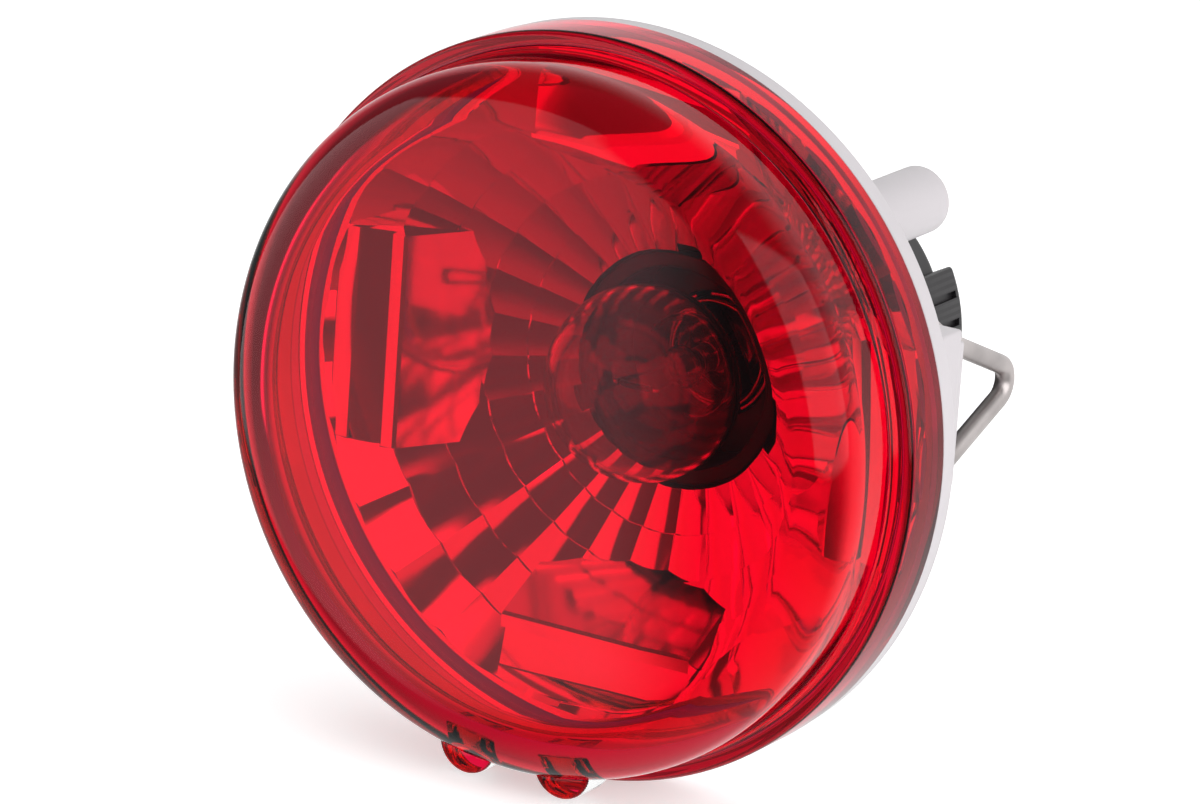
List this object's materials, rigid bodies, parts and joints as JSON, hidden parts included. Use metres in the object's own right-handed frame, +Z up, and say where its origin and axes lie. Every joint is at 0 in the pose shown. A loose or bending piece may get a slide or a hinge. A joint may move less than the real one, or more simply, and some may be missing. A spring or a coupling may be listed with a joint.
{
  "type": "round rear lamp module",
  "caption": "Round red rear lamp module: domed cup lens on a pale flanged housing with facetted reflector, bayonet bulb, rear bulb holder and swinging wire clip.",
  "frame": {"origin": "on the lamp's axis, in the plane of the flange's rear face", "axes": "-Y forward through the lens, +Y rearward through the bulb holder, +Z up with the two lens lugs at the bottom"},
  "size_m": [0.0986, 0.087, 0.0986],
  "materials": {
    "red_lens": "clear deep red moulding, polished",
    "seal_rubber": "matt black rubber",
    "bright_coating": "metallised mirror coating on a moulding",
    "pale_plastic": "pale grey-white moulding, satin",
    "insert_brass": "turned brass",
    "black_plastic": "black moulding, satin",
    "plated_steel": "bright plated sheet",
    "brown_board": "pressed insulating board",
    "spring_steel": "plain wire",
    "tinned_brass": "tinned brass strip",
    "bulb_glass": "clear blown glass",
    "tungsten": "coiled wire",
    "cap_brass": "thin plated cap",
    "black_glass": "black moulded glass",
    "solder": "soft solder pellet",
    "clip_steel": "drawn steel wire, dull plating"
  },
  "bodies": {
    "lamp": {"lens": "red_lens", "lens_seal": "seal_rubber", "reflector": "bright_coating", "housing": "pale_plastic", "post_insert_1": "insert_brass", "post_insert_2": "insert_brass", "post_insert_3": "insert_brass", "holder_body": "black_plastic", "holder_seal": "seal_rubber", "socket_sleeve": "plated_steel", "contact_spring": "spring_steel", "terminal_live": "tinned_brass", "terminal_earth": "tinned_brass"},
    "contact_carrier": {"contact_plunger": "insert_brass", "insulator_disc": "brown_board"},
    "bulb": {"bulb_glass": "bulb_glass", "glass_stem": "bulb_glass", "lead_live": "spring_steel", "lead_earth": "spring_steel", "filament": "tungsten", "bulb_cap": "cap_brass", "bulb_pin_a": "cap_brass", "bulb_pin_b": "cap_brass", "bulb_insulator": "black_glass", "bulb_contact": "solder"},
    "clip": {"clip_wire": "clip_steel"}
  },
  "joints": [
    {"name": "clip_swing", "type": "hinge", "parent": "lamp", "child": "clip", "pos_m": [-0.022, 0.0224, 0], "axis": [0, 0, 1], "range_deg": [0, 110]},
    {"name": "bulb_push", "type": "slide", "parent": "lamp", "child": "contact_carrier", "axis": [0, 1, 0], "range_m": [0, 0.0015], "stiffness_N_per_m": 2000, "springref_m": -0.003, "deforming": ["contact_spring"]},
    {"name": "bulb_turn", "type": "hinge", "parent": "contact_carrier", "child": "bulb", "pos_m": [0, 0, 0], "axis": [0, -1, 0], "range_deg": [0, 20]}
  ]
}
